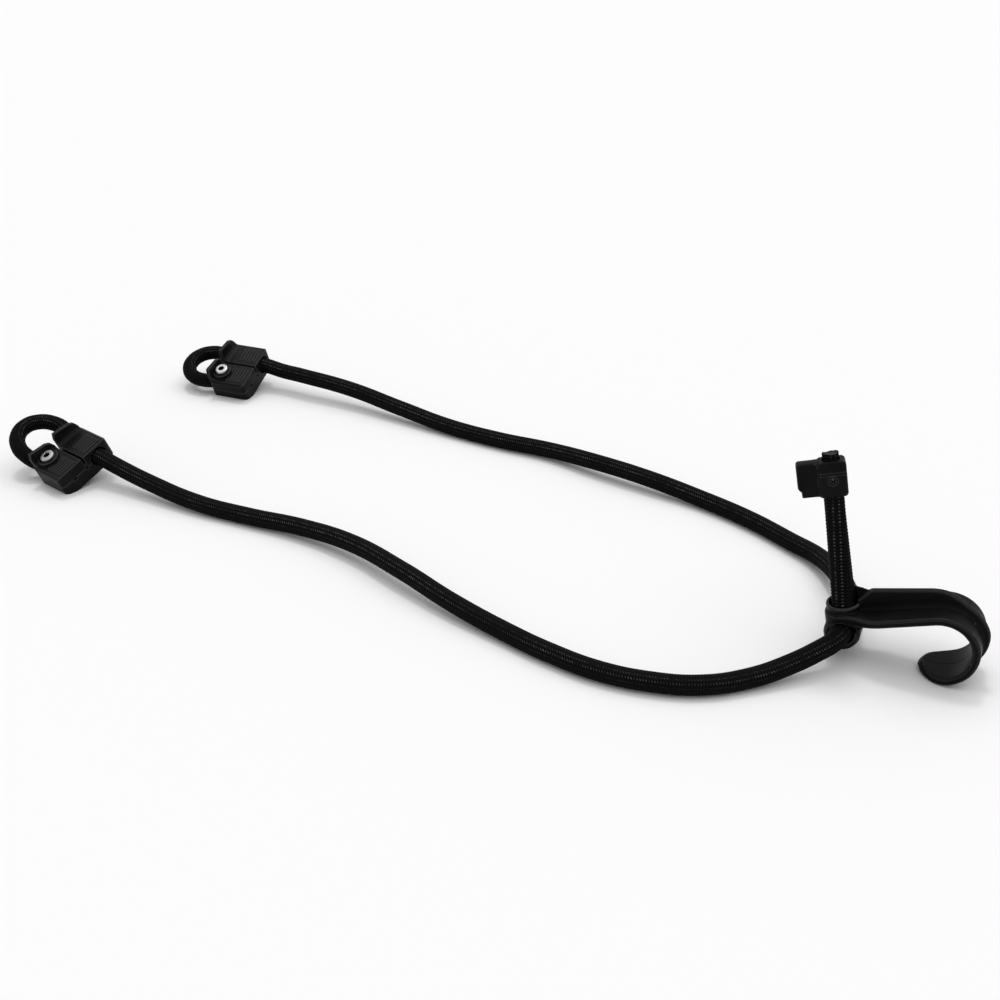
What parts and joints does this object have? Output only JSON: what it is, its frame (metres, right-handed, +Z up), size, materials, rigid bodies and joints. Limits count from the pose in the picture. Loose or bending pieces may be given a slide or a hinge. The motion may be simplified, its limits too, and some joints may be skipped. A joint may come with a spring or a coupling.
{
  "type": "bungee cord",
  "caption": "Elastic bungee cord with braided strands, screwed end clamps that hold loops, and a ribbed moulded hook with a collar and a stop clamp on the cord ends.",
  "frame": {"origin": "on the floor, under the middle of the box round the clamps, loops, hook and stop", "axes": "+X from the end clamps to the hook, +Y across to the rear strand, +Z up"},
  "size_m": [0.4594, 0.1993, 0.0855],
  "materials": {
    "moulded": "satin black moulding",
    "braid": "black woven braid with a pale tracer thread",
    "core": "dark elastic strands",
    "steel": "bright stainless",
    "brass": "turned brass"
  },
  "bodies": {
    "anchors": {"front_clamp_base": "moulded", "front_clamp_cap": "moulded", "front_clamp_insert": "brass", "front_clamp_screw": "steel", "front_loop": "braid", "rear_clamp_base": "moulded", "rear_clamp_cap": "moulded", "rear_clamp_insert": "brass", "rear_clamp_screw": "steel", "rear_loop": "braid", "front_cord_sheath": "braid", "front_cord_core": "core", "rear_cord_sheath": "braid", "rear_cord_core": "core"},
    "cord_ends": {"front_cord_entry": "braid", "rear_cord_entry": "braid"},
    "hook": {"hook": "moulded", "front_upright_sheath": "braid", "front_upright_core": "core", "rear_upright_sheath": "braid", "rear_upright_core": "core"},
    "stop": {"stop_body": "moulded", "stop_cover": "moulded", "stop_screw": "steel", "stop_nut": "steel", "front_cord_end": "braid", "rear_cord_end": "braid"}
  },
  "joints": [
    {"name": "cord_stretch", "type": "slide", "parent": "anchors", "child": "cord_ends", "axis": [1, 0, 0], "range_m": [0, 0.25], "stiffness_N_per_m": 400, "deforming": ["front_cord_sheath", "front_cord_core", "rear_cord_sheath", "rear_cord_core"]},
    {"name": "hook_swing", "type": "hinge", "parent": "cord_ends", "child": "hook", "pos_m": [0.17651, -0.0604, 0.01196], "axis": [0, -1, 0], "range_deg": [-40, 75]},
    {"name": "stop_slide", "type": "slide", "parent": "hook", "child": "stop", "axis": [-0.1994, 0, 0.9799], "range_m": [-0.043, 0], "deforming": ["front_upright_sheath", "front_upright_core", "rear_upright_sheath", "rear_upright_core"]}
  ]
}
